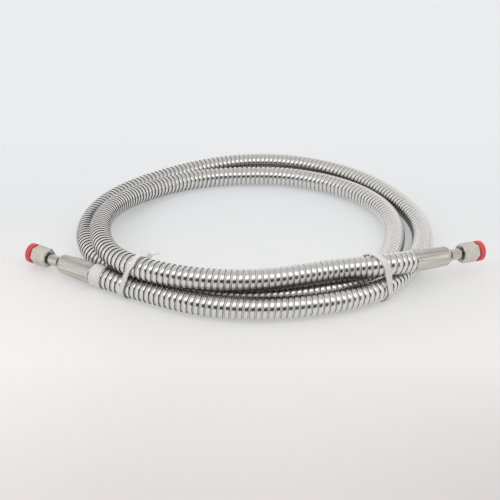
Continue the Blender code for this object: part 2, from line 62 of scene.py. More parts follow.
# (angle in degrees, radius, height) about the middle of the coil, in hose diameters
ROUTE = (
    (216.8, 8.962, 0.633),
    # first turn, the outer one, on the floor
    (228, 8.462, 0.586), (238, 8.267, 0.586), (252, 8.267, 0.586), (269, 8.314, 0.586),
    (285, 8.390, 0.586), (300, 8.581, 0.586), (313, 8.667, 0.586), (327, 8.486, 0.576),
    (344, 8.367, 0.567), (361, 8.205, 0.552), (385, 7.986, 0.533), (410, 8.076, 0.519),
    (435, 8.162, 0.510), (452, 8.062, 0.510), (467, 7.786, 0.514), (485, 7.576, 0.519),
    (500, 7.643, 0.529), (521, 7.971, 0.538), (541, 8.171, 0.552), (557, 8.214, 0.567),
    # second turn, which lies inside the first
    (569, 8.057, 0.571), (581, 7.590, 0.581), (593, 7.245, 0.581), (611, 7.228, 0.586),
    (630, 7.262, 0.586), (650, 7.386, 0.586), (664, 7.538, 0.586), (679, 7.457, 0.576),
    (697, 7.129, 0.567), (714, 6.948, 0.557), (734, 6.838, 0.543), (755, 6.624, 0.533),
    (775, 6.371, 0.524), (795, 6.205, 0.519), (812, 6.114, 0.519), (830, 6.243, 0.529),
    # the climb onto the turns below, and the top run across the front
    (845, 6.390, 0.581), (860, 6.505, 0.676), (876, 6.686, 0.857), (891, 6.943, 1.095),
    (906, 7.276, 1.329), (919, 7.638, 1.510), (931, 8.038, 1.595), (939, 8.262, 1.614),
    (947, 8.314, 1.614), (955, 8.200, 1.605), (965, 7.976, 1.567), (980, 7.714, 1.548),
    (996, 7.567, 1.576), (1010, 7.524, 1.595), (1019, 7.690, 1.586),
    (1040.29, 9.093, 1.533),
)

# ---- End fittings, along their own axis from the ferrule's rear face ----------------------
FIT_GAP = 0.0003             # between fixed parts that seat on one another
FERRULE_LENGTH = 0.0438
FERRULE_REAR_D = HOSE_D
FERRULE_FRONT_D = 0.0190
FERRULE_COLLAR = 0.0060
FERRULE_NOSE = 0.0055
FERRULE_NOSE_D = 0.0130
FERRULE_LIP = 0.0050
FERRULE_BORE_D = 0.0151
SPIGOT_LENGTH = 0.0120
SPIGOT_D = 0.0167
STEM_D = 0.0106
STEM_SHOWN = 0.0133
BORE_D = 0.0045
HEAD_D = 0.0122
HEAD_LAND = 0.0012
CONE_LENGTH = 0.0052
CONE_SLOPE = math.tan(math.radians(12.0))
NUT_REAR = FERRULE_LENGTH + STEM_SHOWN
NUT_LENGTH = 0.0178
NUT_AF = 0.0170
NUT_REAR_WALL = 0.0048
NUT_FACE_D = 0.0158
NUT_RECESS_D = 0.0146
NUT_RECESS_DEPTH = 0.0020
NUT_BORE_D = 0.0114
NUT_THREAD_D = 0.0128
SWIVEL_GAP = 0.00035
PLUG_REAR = NUT_REAR + NUT_LENGTH + FIT_GAP
PLUG_FLANGE_D = 0.0197
PLUG_FLANGE_LENGTH = 0.0057
PLUG_SPIGOT_LENGTH = 0.0042
PLUG_WALL = 0.0012

LEFT_TIE = {"angle": 228.5, "turn": 0.0, "slide": 0.333, "head_at": 0.15, "stub_lift": 32.0}
RIGHT_TIE = {"angle": 310.0, "turn": 8.0, "slide": -0.048, "head_at": 0.75, "stub_lift": 10.0}


# ---- Settings ----------------------------------------------------------------------------
def length_property(name, description, default):
    return FloatProperty(name=name, description=description, default=default, min=0.0,
                         unit="LENGTH", precision=5)


def colour_property(name, description, default):
    return FloatVectorProperty(name=name, description=description, default=default, size=3,
                               subtype="COLOR", min=0.0, max=1.0)


class HoseSizes(bpy.types.PropertyGroup):
    diameter: length_property("Diameter", "Outside of the armour", HOSE_D)
    pitch: length_property("Pitch", "Strip winding, turn to turn", 0.0054)
    groove: length_property("Groove", "Depth of the groove between turns", 0.0012)
    bore: length_property("Bore", "Inside of the armour", 0.0175)
    sides: IntProperty(name="Sides", description="Points round the armour", default=24, min=8)


class TieSizes(bpy.types.PropertyGroup):
    width: length_property("Width", "Strap width", 0.0050)
    wall: length_property("Wall", "Strap thickness", 0.0012)
    slack: length_property("Slack", "From the strap to the hose", 0.0004)
    head_length: length_property("Head length", "Along the strap", 0.0095)
    head_width: length_property("Head width", "Across the strap", 0.0085)
    head_height: length_property("Head height", "Out from the strap", 0.0065)
    stub_length: length_property("Stub", "Cut end beyond the head", 0.0140)


class HoseColours(bpy.types.PropertyGroup):
    armour: colour_property("Armour", "Bright strip steel", (0.78, 0.77, 0.755))
    # The groove colours are painted shade and light: near-black walls as painted shade, a lighter
    # foot as painted light
    groove: colour_property("Groove", "Walls of the grooves", (0.03, 0.029, 0.027))
    groove_foot: colour_property("Groove foot", "Dull steel in the grooves", (0.84, 0.82, 0.80))
    fitting: colour_property("Fitting", "Satin steel of ferrule and nut", (0.69, 0.655, 0.605))
    plug: colour_property("Plug", "Moulded plug", (0.88, 0.085, 0.095))
    band: colour_property("Band", "Label film", (0.985, 0.975, 0.985))
    nylon: colour_property("Nylon", "Cable tie", (0.975, 0.97, 0.95))
    # painted light: the floor is painted lighter and cooler at the back than at the front
    floor_near: colour_property("Floor, near", "Floor at the front", (0.79, 0.765, 0.75))
    floor_far: colour_property("Floor, far", "Floor at the back", (0.82, 0.825, 0.835))


# ---- Mesh helpers ------------------------------------------------------------------------
def mesh_from_arrays(points, faces, place=Matrix()):
    """A mesh whose points are given in the frame of place."""
    matrix = np.array(place)
    mesh = bpy.data.meshes.new("surface")
    mesh.from_pydata(points.reshape(-1, 3) @ matrix[:3, :3].T + matrix[:3, 3], [], faces)
    mesh.update()
    return mesh


def grid_faces(rows, columns, wrap_rows=False):
    """Quads of a grid of points stored row by row. Each row closes on itself, and the last
    row may meet the first."""
    i = np.arange(rows if wrap_rows else rows - 1)
    i, j = np.meshgrid(i, np.arange(columns), indexing="ij")
    here, ahead = i * columns, ((i + 1) % rows) * columns
    beside = (j + 1) % columns
    return np.stack((here + j, here + beside, ahead + beside, ahead + j), axis=-1).reshape(-1, 4)


def face_outward(mesh):
    """Turn all faces outward, by the sign of the volume they enclose."""
    mesh.calc_loop_triangles()
    count = len(mesh.loop_triangles)
    corners = np.empty(count * 3, np.int32)
    mesh.loop_triangles.foreach_get("vertices", corners)
    points = np.empty(len(mesh.vertices) * 3, np.float32)
    mesh.vertices.foreach_get("co", points)
    a, b, c = points.reshape(-1, 3)[corners.reshape(-1, 3)].astype(float).transpose(1, 0, 2)
    if np.einsum("ij,ij->", a, np.cross(b, c)) < 0.0:
        mesh.flip_normals()


def add_piece(name, mesh, material, body, replaced, smooth_angle=30.0):
    """Put a finished mesh in the scene on its body, standing for the given solids."""
    face_outward(mesh)
    mesh.name = name
    mesh.shade_smooth()
    mesh.set_sharp_from_angle(angle=math.radians(smooth_angle))
    mesh.materials.append(material)
    piece = bpy.data.objects.new(name, mesh)
    bpy.context.scene.collection.objects.link(piece)
    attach(piece, body)
    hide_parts(*replaced)
    return piece


def lengths_along(points):
    """The length of a line of points up to each of them."""
    steps = np.linalg.norm(np.diff(points, axis=0), axis=1)
    return np.concatenate(([0.0], np.cumsum(steps)))


def read_at(where, length, values):
    """Rows of values that stand at the given lengths, read between them at where."""
    return np.column_stack([np.interp(where, length, column) for column in values.T])


def share_of(value, full):
    """0 below zero, 1 beyond full, and in proportion between."""
    return np.clip(value / full, 0.0, 1.0)


def filleted(outline, radius, steps=4, closed=True):
    """Round an outline's corners: each gives way to a quadratic curve between the points
    that lie radius before and after it, or a little under half a side where that is less."""
    outline = np.asarray(outline, float)
    before = np.roll(outline, 1, axis=0)
    after = np.roll(outline, -1, axis=0)
    to_before, to_after = before - outline, after - outline
    long_before = np.linalg.norm(to_before, axis=1, keepdims=True)
    long_after = np.linalg.norm(to_after, axis=1, keepdims=True)
    start = outline + to_before * np.minimum(radius / long_before, 0.45)
    end = outline + to_after * np.minimum(radius / long_after, 0.45)
    t = np.linspace(0.0, 1.0, steps + 1)[None, :, None]
    curve = ((1 - t) ** 2 * start[:, None] + 2 * t * (1 - t) * outline[:, None]
             + t ** 2 * end[:, None])
    if closed:
        return curve.reshape(-1, 2)
    return np.vstack((outline[:1], curve[1:-1].reshape(-1, 2), outline[-1:]))


def turned_points(radius, along, sides):
    """Points of a turned form: radius (per row, or per row and column) about the z axis."""
    radius = np.asarray(radius, float)
    if radius.ndim == 1:
        radius = radius[:, None]
    turn = np.linspace(0.0, 2.0 * np.pi, sides, endpoint=False)[None, :]
    height = np.asarray(along, float)[:, None] + 0.0 * turn
    return np.stack((radius * np.cos(turn), radius * np.sin(turn), height), axis=-1)


def turned_mesh(radius, along, sides, place):
    """Turn a closed outline about the z axis; it becomes a ring-like closed surface."""
    points = turned_points(radius, along, sides)
    faces = grid_faces(len(points), sides, wrap_rows=True)
    return mesh_from_arrays(points, faces.tolist(), place)


def capped_mesh(rings, poles, place):
    """A surface through rings of points, closed by a pole at each end."""
    rows, sides = rings.shape[:2]
    j = np.arange(sides)
    k = (j + 1) % sides
    first_pole, last_ring = rows * sides, (rows - 1) * sides
    faces = grid_faces(rows, sides).tolist()
    faces += np.stack((np.full(sides, first_pole), k, j), axis=1).tolist()
    faces += np.stack((np.full(sides, first_pole + 1), last_ring + j, last_ring + k),
                      axis=1).tolist()
    return mesh_from_arrays(np.vstack((rings.reshape(-1, 3), poles)), faces, place)


def flat_cosine(turn, count):
    """Cosine of the angle from each direction to the middle of the nearest of count flats."""
    return np.cos(2.0 * np.pi * (np.mod(turn * count, 1.0) - 0.5) / count)


def soft_min(a, b, sharpness):
    """The smaller of two radii, rounded where they cross."""
    least = np.minimum(a, b)
    return least * ((least / a) ** sharpness + (least / b) ** sharpness) ** (-1.0 / sharpness)


# ---- Route -------------------------------------------------------------------------------
def unit_axis(azimuth_and_tilt):
    azimuth, tilt = (math.radians(value) for value in azimuth_and_tilt)
    level = math.cos(tilt)
    return Vector((level * math.cos(azimuth), level * math.sin(azimuth), math.sin(tilt)))


def station_points():
    """Places of all stations: centre plus radius turned by the angle, at the height."""
    angle, radius, height = np.array(ROUTE, float).T * ((1.0,), (HOSE_D,), (HOSE_D,))
    angle = np.radians(angle)
    return np.column_stack((COIL_CENTRE[0] + radius * np.cos(angle),
                            COIL_CENTRE[1] + radius * np.sin(angle), height))


def smooth_curve(knots, points, where):
    """Natural cubic spline through points at the given knots, read at where."""
    count = len(knots)
    step = np.diff(knots)
    slope = np.diff(points, axis=0) / step[:, None]
    system = np.eye(count)
    inner = np.arange(1, count - 1)
    system[inner, inner - 1] = step[:-1]
    system[inner, inner] = 2.0 * (step[:-1] + step[1:])
    system[inner, inner + 1] = step[1:]
    right = np.zeros_like(points)
    right[inner] = 6.0 * np.diff(slope, axis=0)
    bend = np.linalg.solve(system, right)
    k = np.clip(np.searchsorted(knots, where) - 1, 0, count - 2)
    span = step[k][:, None]
    done = (where - knots[k])[:, None]
    left = span - done
    return ((bend[k] * left ** 3 + bend[k + 1] * done ** 3) / (6.0 * span)
            + (points[k] / span - bend[k] * span / 6.0) * left
            + (points[k + 1] / span - bend[k + 1] * span / 6.0) * done)


def hose_line():
    """Fine centreline from the left ferrule to the right one, and the length up to each point."""
    curve_points, straight_points = 4000, 20
    stations = station_points()
    left_axis, right_axis = np.array(unit_axis(LEFT_AXIS)), np.array(unit_axis(RIGHT_AXIS))
    path = np.vstack((stations[0], stations[0] - END_STRAIGHT * left_axis, stations[1:-1],
                      stations[-1] - END_STRAIGHT * right_axis, stations[-1]))
    knots = lengths_along(path)
    line = smooth_curve(knots, path, np.linspace(knots[1], knots[-2], curve_points))
    straight = np.linspace(0.0, 1.0, straight_points, endpoint=False)[:, None]
    start = path[0] + straight * (path[1] - path[0])
    end = path[-1] + straight[::-1] * (path[-2] - path[-1])
    line = np.vstack((start, line, end))
    return line, lengths_along(line)


def hose_points(line, length, where, angle, radius):
    """Points at a radius and angle about the hose at each length, and the way out there."""
    centre, side, up = frames_at(line, length, where)
    outward = np.cos(angle) * side + np.sin(angle) * up
    return centre + radius * outward, outward


def frames_at(line, length, where):
    """Centre, sideways and upward directions of the hose at the given lengths along it."""
    reach = 0.004
    centre, ahead, behind = (read_at(where + shift, length, line)
                             for shift in (0.0, reach, -reach))
    along = ahead - behind
    along /= np.linalg.norm(along, axis=1, keepdims=True)
    side = np.cross(along, (0.0, 0.0, 1.0))
    side /= np.linalg.norm(side, axis=1, keepdims=True)
    return centre, side, np.cross(side, along)


# ---- Materials ---------------------------------------------------------------------------
class Nodes:
    """The node tree of a material or a world, with short ways to add to it."""

    def __init__(self, owner):
        owner.use_nodes = True
        self.owner = owner
        self.tree = owner.node_tree

    def put(self, node, inputs):
        """Fill a node's inputs: a socket is linked, and anything else is the value itself."""
        for name, value in dict(inputs).items():
            if isinstance(value, bpy.types.NodeSocket):
                self.tree.links.new(value, node.inputs[name])
            else:
                node.inputs[name].default_value = value

    def finish(self, inputs, shader="Principled BSDF"):
        """Fill the shader's inputs and hand over the material or world."""
        self.put(self.tree.nodes[shader], inputs)
        return self.owner

    def add(self, kind, inputs=(), **settings):
        node = self.tree.nodes.new("ShaderNode" + kind)
        for name, value in settings.items():
            setattr(node, name, value)
        self.put(node, inputs)
        return node

    def position(self):
        return self.add("TexCoord").outputs["Object"]

    def noise(self, vector, scale, detail=3.0):
        inputs = {"Vector": vector, "Scale": scale, "Detail": detail}
        return self.add("TexNoise", inputs).outputs["Fac"]

    def ramp(self, factor, *stops):
        """Colours that follow one another as the factor grows, as (position, colour)."""
        node = self.add("ValToRGB", {"Fac": factor})
        elements = node.color_ramp.elements
        for element, (position, colour) in zip(elements, (stops[0], stops[-1])):
            element.position, element.color = position, (*colour, 1.0)
        for position, colour in stops[1:-1]:
            elements.new(position).color = (*colour, 1.0)
        return node.outputs["Color"]

    def remapped(self, value, low, high, start=0.0, end=1.0, easing="LINEAR"):
        """Goes from low to high while value goes from start to end."""
        inputs = {"Value": value, "From Min": start, "From Max": end, "To Min": low,
                  "To Max": high}
        return self.add("MapRange", inputs, interpolation_type=easing).outputs["Result"]

    def eased(self, value, start, end, low=0.0, high=1.0):
        return self.remapped(value, low, high, start, end, "SMOOTHSTEP")

    def maths(self, operation, *values):
        return self.add("Math", enumerate(values), operation=operation).outputs["Value"]

    def scaled(self, vector, scale):
        inputs = {0: vector, "Scale": scale}
        return self.add("VectorMath", inputs, operation="SCALE").outputs["Vector"]

    def mixed(self, factor, first, second):
        """Blend of two colours, each a tuple or a socket. The blend node keeps its colour
        sockets behind those for numbers and vectors."""
        first, second = ((*colour, 1.0) if isinstance(colour, tuple) else colour
                         for colour in (first, second))
        inputs = {0: factor, 6: first, 7: second}
        return self.add("Mix", inputs, data_type="RGBA").outputs[2]

    def bumped(self, height, strength, distance):
        inputs = {"Height": height, "Strength": strength, "Distance": distance}
        return self.add("Bump", inputs).outputs["Normal"]


def shaded(colour, share):
    return tuple(min(1.0, share * value) for value in colour)


def armour_material(colours):
    """Bright rolled strip: fine lines along the strip, handling marks, groove walls painted dark
    as painted shade with a foot painted lighter as painted light, and painted shade on the lower
    flank where the hose faces another run."""
    nodes = Nodes(bpy.data.materials.new("bright_strip_steel"))
    depth = nodes.add("Attribute", attribute_name="groove").outputs["Fac"]
    hollow = nodes.add("Attribute", attribute_name="hollow").outputs["Fac"]
    # painted shade on the groove walls, and painted light on the lighter groove foot
    colour = nodes.ramp(depth, (0.06, colours.armour), (0.25, colours.groove),
                        (0.80, colours.groove), (0.95, colours.groove_foot))
    uv = nodes.add("UVMap", uv_map="route").outputs["UV"]
    strip = nodes.add("Mapping", {"Vector": uv, "Scale": (14.0, 1.5, 1.0)})
    lines = nodes.noise(strip.outputs["Vector"], 1.0, 4.0)
    marks = nodes.noise(nodes.position(), 90.0, 5.0)
    gloss = nodes.remapped(nodes.maths("MULTIPLY_ADD", marks, 0.5, lines), 0.06, 0.24)
    dull = nodes.eased(depth, 0.85, 0.98, 0.0, 0.45)
    return nodes.finish({
        "Metallic": 1.0,
        # painted shade between runs: the hollow attribute scales the steel colour down to 0.18 of
        # itself
        "Base Color": nodes.scaled(colour, nodes.remapped(hollow, 1.0, 0.18)),
        "Roughness": nodes.maths("ADD", gloss, dull),
        "Normal": nodes.bumped(lines, 0.12, 0.0002)})


def fitting_material(colours, name, along, drawn=False):
    """Satin steel with fine tool lines round the axis; drawn steel has streaks along it."""
    nodes = Nodes(bpy.data.materials.new(name))
    position = nodes.position()
    axis = nodes.add("VectorMath", {0: position, 1: along},
                     operation="DOT_PRODUCT").outputs["Value"]
    cloud = nodes.noise(position, 120.0, 4.0)
    if drawn:
        shift = nodes.scaled(along, nodes.maths("MULTIPLY", axis, 0.97))
        across = nodes.add("VectorMath", {0: position, 1: shift}, operation="SUBTRACT")
        height = streak = nodes.noise(across.outputs["Vector"], 480.0, 4.0)
        shade, rough, strength, distance = 0.66, (0.12, 0.26), 0.5, 0.0005
    else:
        height = nodes.add("TexNoise", {"Scale": 5000.0, "W": axis},
                           noise_dimensions="1D").outputs["Fac"]
        streak = cloud
        shade, rough, strength, distance = 0.86, (0.22, 0.34), 0.15, 0.0001
    return nodes.finish({
        "Metallic": 1.0,
        "Base Color": nodes.ramp(streak, (0.35, shaded(colours.fitting, shade)),
                                 (0.62, colours.fitting)),
        "Roughness": nodes.remapped(cloud, *rough),
        "Normal": nodes.bumped(height, strength, distance)})


def plastic_material(name, colour, roughness, scatter=0.0):
    """Moulded plastic: slight mottle in colour and gloss, a fine moulded grain."""
    mottle = 0.06
    nodes = Nodes(bpy.data.materials.new(name))
    position = nodes.position()
    cloud = nodes.noise(position, 160.0)
    return nodes.finish({
        "Base Color": nodes.ramp(cloud, (0.3, shaded(colour, 0.92)), (0.7, colour)),
        "Roughness": nodes.remapped(cloud, roughness - mottle, roughness + mottle),
        "Subsurface Weight": scatter,
        "Subsurface Scale": 0.003,
        "Subsurface Radius": (1.0, 1.0, 1.0),
        "Normal": nodes.bumped(nodes.noise(position, 1800.0, 2.0), 0.1, 0.0001)})


def braid_material(colours):
    """Wire braid, as fine diagonal bands."""
    nodes = Nodes(bpy.data.materials.new("wire_braid"))
    wires = nodes.add("TexWave", {"Vector": nodes.position(), "Scale": 900.0},
                      bands_direction="DIAGONAL").outputs["Fac"]
    return nodes.finish({
        "Metallic": 1.0,
        "Roughness": 0.35,
        "Base Color": nodes.ramp(wires, (0.2, shaded(colours.fitting, 0.5)),
                                 (0.6, colours.fitting)),
        "Normal": nodes.bumped(wires, 0.6, 0.0004)})


# ---- Armour ------------------------------------------------------------------------------
# One turn of the strip, as (share of the pitch, share of the groove's depth, painted shade): it
# slopes up gently, ends in a steep wall painted dark as painted shade, and the dull foot of
# the groove follows, painted lighter as painted light
TURN = ((0.000, 1.00, 1.0), (0.012, 0.80, 0.0), (0.050, 0.40, 0.0), (0.110, 0.12, 0.0),
        (0.190, 0.00, 0.0), (0.640, 0.00, 0.0), (0.690, 0.07, 0.12), (0.730, 0.38, 0.5),
        (0.755, 1.00, 1.0))
TURN_SHARE, TURN_DEPTH, TURN_SHADE = np.array(TURN).T


def crevice_shade(points, outward, place, line, length, diameter):
    """How much painted shade each point gets between two runs, from 0 to 1, with gaps in hose
    diameters.
    Deep down it is the nearness of the next run, times how squarely the point faces it,
    times how far the surface leans over. A run that lies on top of others gets less painted
    shade.
    A point gets painted shade as well where a run close by overhangs it without bearing on its
    own."""
    mark_step, own_run, far_off = 0.010, 0.15, 1.0
    reach, reach_fade, square_on = 1.7, 0.8, 0.5
    lean_limit, lean_fade = 0.36, 0.28
    top_from, top_full, top_lean, top_relief = 1.0, 0.4, 0.06, 0.4
    over_reach, over_fade, over_height, over_shade = 0.62, 0.16, 0.004, 0.85
    bearing, bearing_fade = 1.15, 0.10

    marks = np.arange(0.0, length[-1], mark_step)
    other = read_at(marks, length, line)
    square = ((points ** 2).sum(axis=1)[:, None] + (other ** 2).sum(axis=1)[None, :]
              - 2.0 * points @ other.T)
    square[np.abs(place[:, None] - marks[None, :]) < own_run] = far_off
    nearest = other[square.argmin(axis=1)]
    toward = nearest - points
    distance = np.linalg.norm(toward, axis=1)
    gap = distance / diameter - 0.5
    centre = read_at(place, length, line)
    apart = np.linalg.norm(nearest - centre, axis=1) / diameter

    near = share_of(reach - gap, reach_fade)
    facing = share_of((outward * toward).sum(axis=1) / distance, square_on)
    raised = share_of(centre[:, 2] / diameter - top_from, top_full)
    lean = share_of(lean_limit - top_lean * raised - outward[:, 2], lean_fade)
    overhung = (share_of(over_reach - gap, over_fade)
                * share_of(facing * toward[:, 2], over_height)
                * share_of(apart - bearing, bearing_fade))
    return np.maximum(near * facing * lean * (1.0 - top_relief * raised),
                      over_shade * overhung)


def winding_mesh(sizes, line, length):
    """The strip wound as one helix. A point's place along the hose is (turn + share + angle /
    full circle) pitches; its radius is half the diameter less the groove's depth share.
    Past either end the strip is trimmed square: its points close up on the end circle."""
    end_depth, bore_rings, bore_shade = 0.3, 200, 0.6
    sides = sizes.sides
    total = length[-1]
    pitch = total / round(total / sizes.pitch)
    per_turn = len(TURN_SHARE)
    turns = round(total / pitch) + 1
    row = np.arange(-per_turn, turns * per_turn)
    share = row // per_turn + TURN_SHARE[row % per_turn]
    turn = np.arange(sides) / sides
    place = (share[:, None] + turn[None, :]) * pitch
    depth = np.repeat(TURN_DEPTH[row % per_turn][:, None], sides, axis=1)
    shade = np.repeat(TURN_SHADE[row % per_turn][:, None], sides, axis=1)
    low, high = place <= 0.0, place >= total
    depth[low | high] = end_depth
    place = np.clip(place, 0.0, total)

    angle = np.tile(2.0 * np.pi * turn, len(row))[:, None]
    radius = (sizes.diameter / 2.0 - sizes.groove * depth.ravel())[:, None]
    points, outward = hose_points(line, length, place.ravel(), angle, radius)
    # painted shade between runs, stored as the hollow attribute
    hollow = crevice_shade(points, outward, place.ravel(), line, length, sizes.diameter)

    # points trimmed to the same end circle share one vertex in each column
    index = np.arange(place.size).reshape(place.shape)
    last_low = low.sum(axis=0) - 1
    first_high = len(row) - high.sum(axis=0)
    columns = np.arange(sides)
    index = np.where(low, index[last_low, columns][None, :], index)
    index = np.where(high, index[np.minimum(first_high, len(row) - 1), columns][None, :], index)

    # the last column meets the first one a whole turn further on
    closing = np.vstack((index[per_turn:, :1], np.repeat(index[-1:, :1], per_turn, axis=0)))
    wide = np.hstack((index, closing))
    quads = np.stack((wide[:-1, :-1], wide[:-1, 1:], wide[1:, 1:], wide[1:, :-1]), axis=-1)
    quads = quads.reshape(-1, 4)
    start_loop, end_loop = index[0], index[-1]

    # the bore: plain rings of the same number of points, joined to both ends
    where = np.linspace(0.0, total, bore_rings)
    angle = np.tile(2.0 * np.pi * turn, bore_rings)[:, None]
    bore, _outward = hose_points(line, length, np.repeat(where, sides), angle,
                                 sizes.bore / 2.0)
    offset = len(points)
    inner = grid_faces(bore_rings, sides) + offset
    first, last = offset + columns, offset + (bore_rings - 1) * sides + columns
    after = np.roll(columns, -1)
    ends = np.vstack((
        np.stack((first, first[after], start_loop[after], start_loop), axis=1),
        np.stack((last, end_loop, end_loop[after], last[after]), axis=1)))
    quads = np.vstack((quads, inner[:, ::-1], ends))
    points = np.vstack((points, bore))
    # the groove attribute carries each row's painted shade; the bore gets the dark painted shade
    # too
    groove = np.concatenate((shade.ravel(), np.full(len(bore), bore_shade)))
    hollow = np.concatenate((hollow, np.zeros(len(bore))))

    # drop points that nothing uses and corners that have closed up
    same = np.roll(quads, -1, axis=1) == quads
    whole = quads[~same.any(axis=1)]
    three = quads[same.sum(axis=1) == 1]
    keep_mask = ~(np.roll(three, -1, axis=1) == three)
    triangles = three[keep_mask].reshape(-1, 3)
    opposite = (whole[:, 0] == whole[:, 2]) | (whole[:, 1] == whole[:, 3])
    whole = whole[~opposite]
    used = np.unique(np.concatenate((whole.ravel(), triangles.ravel())))
    renumber = np.zeros(len(points), int)
    renumber[used] = np.arange(len(used))
    faces = renumber[whole].tolist() + renumber[triangles].tolist()
    mesh = mesh_from_arrays(points[used], faces)

    for title, values in (("groove", groove), ("hollow", hollow)):
        layer = mesh.attributes.new(title, "FLOAT", "POINT")
        layer.data.foreach_set("value", values[used].astype(np.float32))
    along = np.concatenate((place.ravel() / pitch, np.zeros(len(bore))))[used]
    around = np.concatenate((np.tile(turn, len(row)), np.tile(turn, bore_rings)))[used]
    corners = np.empty(len(mesh.loops), np.int32)
    mesh.loops.foreach_get("vertex_index", corners)
    uv = np.column_stack((along, around))[corners].astype(np.float32)
    mesh.uv_layers.new(name="route").data.foreach_set("uv", uv.ravel())
    return mesh


# ---- End fittings ------------------------------------------------------------------------
def end_place(side):
    """Where a fitting stands: its rear face's centre, with z along its axis."""
    last = 0 if side == "left" else -1
    axis = unit_axis(LEFT_AXIS if side == "left" else RIGHT_AXIS)
    turn = axis.to_track_quat("Z", "Y").to_matrix().to_4x4()
    return Matrix.Translation(station_points()[last]) @ turn


def ferrule_mesh(place):
    """A sleeve whose radius is the softer minimum of a tapered round and eight flats, which
    the crimping die leaves between the collar and the sloping nose."""
    sides, flats, press, run_out, point_step = 96, 8, 0.0005, 0.003, 0.0012
    bore, spigot = FERRULE_BORE_D / 2.0, SPIGOT_D / 2.0
    rear, front, nose = FERRULE_REAR_D / 2.0, FERRULE_FRONT_D / 2.0, FERRULE_NOSE_D / 2.0
    lip = STEM_D / 2.0 + FIT_GAP
    end, nose_start = FERRULE_LENGTH, FERRULE_LENGTH - FERRULE_NOSE
    outline = [(bore, -SPIGOT_LENGTH), (spigot, -SPIGOT_LENGTH), (spigot, 0.0), (rear, 0.0),
               (rear, FERRULE_COLLAR), (front, nose_start), (nose, end), (lip, end),
               (lip, end - FERRULE_LIP), (bore, end - FERRULE_LIP)]
    outline = filleted(outline, 0.0008, 5)
    closed = np.vstack((outline, outline[:1]))
    knots = lengths_along(closed)
    where = np.unique(np.concatenate((knots[:-1], np.arange(0.0, knots[-1], point_step))))
    radius, along = read_at(where, knots, closed).T
    turn = np.arange(sides) / sides
    taper = rear + (front - rear) * share_of(along - FERRULE_COLLAR,
                                             nose_start - FERRULE_COLLAR)
    ease_in = share_of(along - FERRULE_COLLAR, run_out)
    ease_out = share_of(nose_start + 0.001 - along, run_out)
    ease = ease_in * ease_in * (3 - 2 * ease_in) * ease_out * ease_out * (3 - 2 * ease_out)
    ease = np.where(radius > spigot - 1e-5, ease, 0.0)
    flat = (taper - press * ease)[:, None] / flat_cosine(turn, flats)[None, :]
    flat = np.where(ease[:, None] > 0.0, flat, 1.0)
    shaped = soft_min(radius[:, None] + 0.0 * flat, flat, 220.0)
    return turned_mesh(shaped, along, sides, place)


def insert_outline():
    """Barbed tail in the liner, collar behind the ferrule's lip, stem, cone with a groove."""
    bore, stem, head = BORE_D / 2.0, STEM_D / 2.0, HEAD_D / 2.0
    root, barb = 0.0031, 0.0034
    collar, collar_length = 0.0068, 0.0028
    collar_front = FERRULE_LENGTH - FERRULE_LIP - FIT_GAP
    collar_rear = collar_front - collar_length
    tail, barbs = 0.031, 5
    groove_from, groove_width, groove_depth = 0.35, 0.0021, 0.0016
    start = collar_rear - tail
    outline = [(bore, start), (root, start)]
    for k in range(1, barbs + 1):
        place = start + k * tail / (barbs + 1)
        outline += [(barb, place), (root, place + 0.0002)]
    shoulder = NUT_REAR + NUT_REAR_WALL + SWIVEL_GAP
    cone = shoulder + head - stem + HEAD_LAND
    low = cone + groove_from * CONE_LENGTH
    high = low + groove_width
    groove = head - (low + high - 2.0 * cone) / 2.0 * CONE_SLOPE - groove_depth
    outline += [(root, collar_rear), (collar, collar_rear), (collar, collar_front),
                (stem, collar_front), (stem, shoulder), (head, shoulder + head - stem),
                (head, cone), (head - (low - cone) * CONE_SLOPE, low), (groove, low),
                (groove, high), (head - (high - cone) * CONE_SLOPE, high),
                (head - CONE_LENGTH * CONE_SLOPE, cone + CONE_LENGTH), (bore, cone + CONE_LENGTH)]
    return filleted(outline, 0.00015, 2)


def nut_mesh(place):
    """A union nut. Outside, the radius is the least of six flats and two chamfer cones;
    inside it is a sunk ring, the stem hole, the seat, then a thread whose radius swings
    with (height / pitch - angle / full circle)."""
    sides = 144
    thread_pitch, thread_depth = 0.0015, 0.00055
    edge_zone, side_from, mouth_depth, mouth_wider = 0.0016, 0.003, 0.0006, 0.0007
    edge_rows, side_rows, thread_rows = 9, 12, 60
    face, recess, bore = NUT_FACE_D / 2.0, NUT_RECESS_D / 2.0, NUT_BORE_D / 2.0
    thread = NUT_THREAD_D / 2.0
    seat = NUT_REAR_WALL + thread - bore
    edge = np.linspace(0.0, edge_zone, edge_rows)
    outer_z = np.concatenate((edge, np.linspace(side_from, NUT_LENGTH - side_from, side_rows),
                              (NUT_LENGTH - edge)[::-1]))
    thread_z = np.linspace(NUT_LENGTH - mouth_depth, seat, thread_rows)
    turn = np.arange(sides) / sides
    flats = NUT_AF / 2.0 / flat_cosine(turn, 6)
    slope = math.tan(math.radians(30.0))
    cone = face + np.minimum(outer_z, NUT_LENGTH - outer_z) / slope
    outer_r = soft_min(flats[None, :] + 0.0 * cone[:, None], cone[:, None] + 0.0 * flats, 260.0)
    wave = np.abs(np.mod(thread_z[:, None] / thread_pitch - turn[None, :], 1.0) * 2.0 - 1.0)
    fade = share_of(thread_z - seat, 0.001)[:, None]
    thread_r = thread + thread_depth * wave * fade
    ones = np.ones((1, sides))
    inner = filleted([(thread, seat + 0.001), (thread, seat), (bore, NUT_REAR_WALL),
                      (bore, NUT_RECESS_DEPTH), (recess, NUT_RECESS_DEPTH), (recess, 0.0),
                      (face, 0.0)], 0.0003, 3, closed=False)
    mouth_r = thread + mouth_wider
    radius = np.vstack((outer_r, mouth_r * ones, thread_r, inner[1:-1, :1] * ones))
    along = np.concatenate((outer_z, (NUT_LENGTH,), thread_z, inner[1:-1, 1]))
    return turned_mesh(radius, along, sides, place)


